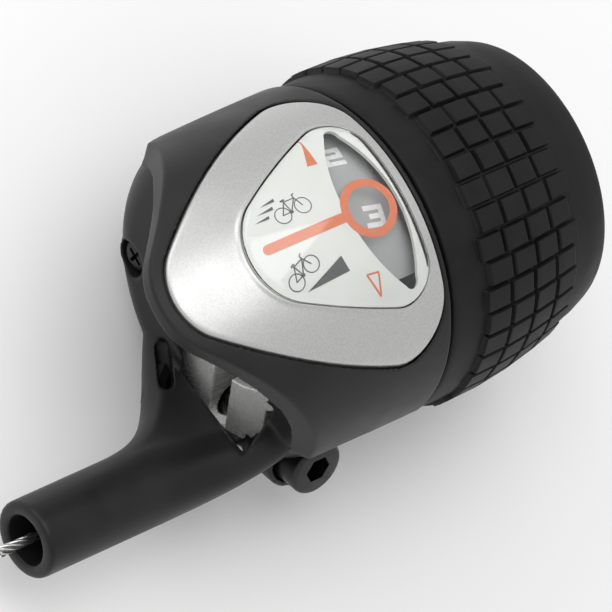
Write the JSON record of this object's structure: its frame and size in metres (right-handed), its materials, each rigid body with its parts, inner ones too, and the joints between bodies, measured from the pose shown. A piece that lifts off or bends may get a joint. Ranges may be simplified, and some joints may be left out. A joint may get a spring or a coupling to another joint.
{
  "type": "twist grip shifter",
  "caption": "Twist-grip gear shifter for a handlebar's right end, with a ribbed rubber grip, a dial window, a clamp and a cable outlet.",
  "frame": {"origin": "on the handlebar's axis, in the gap between the fixed housing and the turning grip", "axes": "+X along the handlebar towards its outboard end, +Z out of the dial window, +Y forwards"},
  "size_m": [0.0801, 0.0434, 0.0424],
  "materials": {
    "black_plastic": "fine moulded grain, satin black",
    "silver_paint": "fine metallic flake paint on plastic",
    "clear_lens": "clear polished plastic",
    "white_dial": "smooth white with printed marks",
    "grey_band": "satin grey with white numbers",
    "steel": "brushed, bright",
    "black_steel": "black oxide",
    "brass_insert": "turned",
    "grip_rubber": "matte moulded rubber",
    "nylon": "natural"
  },
  "bodies": {
    "housing": {"bracket_housing": "black_plastic", "front_cover": "black_plastic", "bezel": "silver_paint", "lens": "clear_lens", "dial_plate": "white_dial", "clamp_band": "steel", "clamp_bolt": "black_steel", "clamp_nut": "brass_insert", "bar_sleeve": "black_plastic", "retaining_ring": "steel", "thrust_washer": "nylon", "index_spring": "steel", "cover_screw": "black_steel", "cable_guide": "black_plastic", "cable_bend": "steel"},
    "grip": {"grip_core": "black_plastic", "rubber_grip": "grip_rubber", "number_band": "grey_band", "index_ring": "steel", "cable_nipple": "steel", "cable_wrap": "steel"},
    "cable": {"cable_tail": "steel"}
  },
  "joints": [
    {"name": "grip_twist", "type": "hinge", "parent": "housing", "child": "grip", "pos_m": [0, 0, 0], "axis": [1, 0, 0], "range_deg": [0, 55], "deforming": ["index_spring"]},
    {"name": "cable_slide", "type": "slide", "parent": "housing", "child": "cable", "axis": [1, 0, 0], "range_m": [0, 0.0148], "deforming": ["cable_bend"]}
  ],
  "couplings": [
    {"joint": "cable_slide", "follows": "grip_twist", "m_per_rad": 0.0154}
  ]
}
